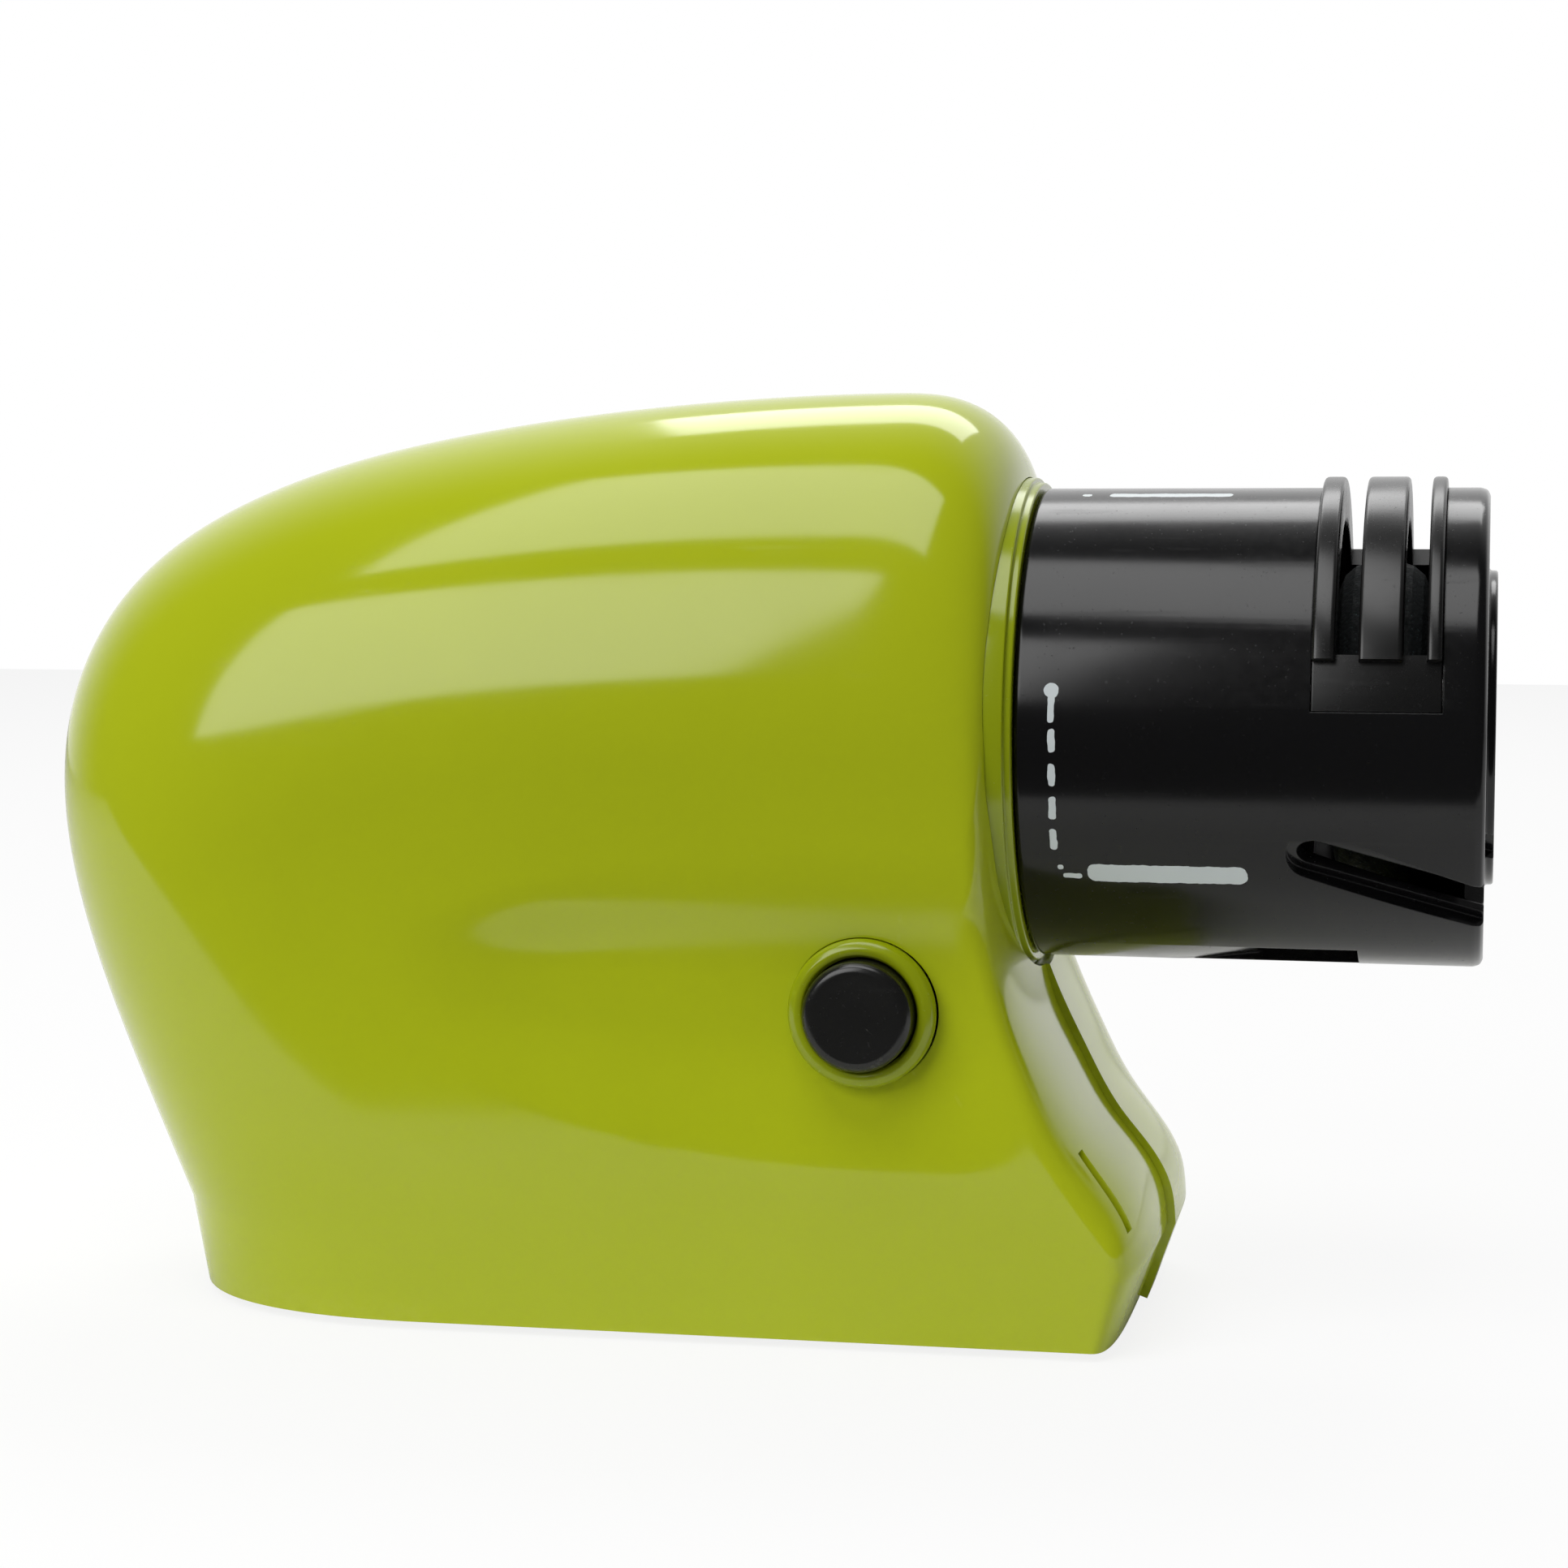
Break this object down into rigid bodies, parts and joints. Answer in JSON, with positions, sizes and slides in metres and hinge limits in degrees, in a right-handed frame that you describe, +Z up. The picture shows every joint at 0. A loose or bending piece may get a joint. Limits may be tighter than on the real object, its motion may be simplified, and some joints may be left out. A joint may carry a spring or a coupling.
{
  "type": "electric knife sharpener",
  "caption": "Battery knife sharpener: rounded two-shell body, turning selector drum with blade slots round a motor-driven grinding stone, and a side push button.",
  "frame": {"origin": "on the table under the middle of the whole object", "axes": "+X along the head towards its outer end, -Y towards the side with the button, +Z up"},
  "size_m": [0.1774, 0.0675, 0.1111],
  "materials": {
    "green_plastic": "glossy lime-green moulded plastic",
    "green_plastic_base": "satin lime-green moulded plastic",
    "green_plastic_collar": "glossy lime-green moulded plastic",
    "gloss_black": "glossy black moulded plastic with white print",
    "guide_black": "satin black moulded plastic",
    "button_black": "black moulded plastic with a soft sheen",
    "white_plastic": "natural white plastic",
    "stone": "dark grey bonded abrasive with a fine speckle",
    "steel": "plain bright steel",
    "motor_steel": "zinc-plated drawn steel",
    "iron": "stacked iron sheets",
    "copper": "enamelled copper",
    "brass": "sintered bronze and plain brass",
    "magnet": "dark sintered ferrite and carbon",
    "cell_jacket": "plain printed steel jacket without words",
    "rubber": "matt black rubber",
    "wire_red": "red insulation",
    "wire_black": "black insulation"
  },
  "bodies": {
    "housing": {"shell_near": "green_plastic", "shell_far": "green_plastic", "base_plate": "green_plastic_base", "collar_ring": "green_plastic_collar", "button_bezel": "green_plastic_collar", "neck_tube": "guide_black", "drum_retainer": "guide_black", "retainer_screws": "steel", "motor_can": "motor_steel", "motor_end_cap": "guide_black", "motor_magnets": "magnet", "motor_brushes": "magnet", "push_switch": "guide_black", "switch_terminals": "brass", "button_spring": "steel", "battery_holder": "guide_black", "battery_1": "cell_jacket", "battery_2": "cell_jacket", "battery_3": "cell_jacket", "battery_4": "cell_jacket", "battery_contact_plates": "steel", "battery_springs": "steel", "bush_rear": "brass", "bush_front": "brass", "detent_ball": "steel", "detent_spring": "steel", "door_hinge_pin": "steel", "shell_screws": "steel", "plate_screws": "steel", "rubber_feet": "rubber", "wire_battery_to_switch": "wire_red", "wire_switch_to_motor": "wire_red", "wire_battery_to_motor": "wire_black"},
    "selector": {"selector_drum": "gloss_black", "drum_cap": "gloss_black", "knife_guide": "guide_black"},
    "spindle_set": {"spindle": "steel", "grinding_wheel": "stone", "wheel_washers": "steel", "wheel_nut": "steel", "shaft_coupling": "brass", "motor_shaft": "steel", "motor_rotor": "iron", "motor_windings": "copper", "motor_commutator": "copper"},
    "button": {"button_cap": "button_black", "switch_plunger": "white_plastic"},
    "door": {"battery_door": "green_plastic_base"}
  },
  "joints": [
    {"name": "drum_select", "type": "hinge", "parent": "housing", "child": "selector", "pos_m": [0.036, 0, 0.0713], "axis": [-1, 0, 0], "range_deg": [0, 180]},
    {"name": "spindle_spin", "type": "hinge", "parent": "housing", "child": "spindle_set", "pos_m": [0.0758, 0, 0.0713], "axis": [1, 0, 0], "continuous": true},
    {"name": "button_press", "type": "slide", "parent": "housing", "child": "button", "axis": [0, 1, 0], "range_m": [0, 0.0022], "stiffness_N_per_m": 350, "springref_m": -0.001},
    {"name": "battery_door_hinge", "type": "hinge", "parent": "housing", "child": "door", "pos_m": [-0.003, 0, 0.0024], "axis": [0, -1, 0], "range_deg": [0, 95]}
  ]
}
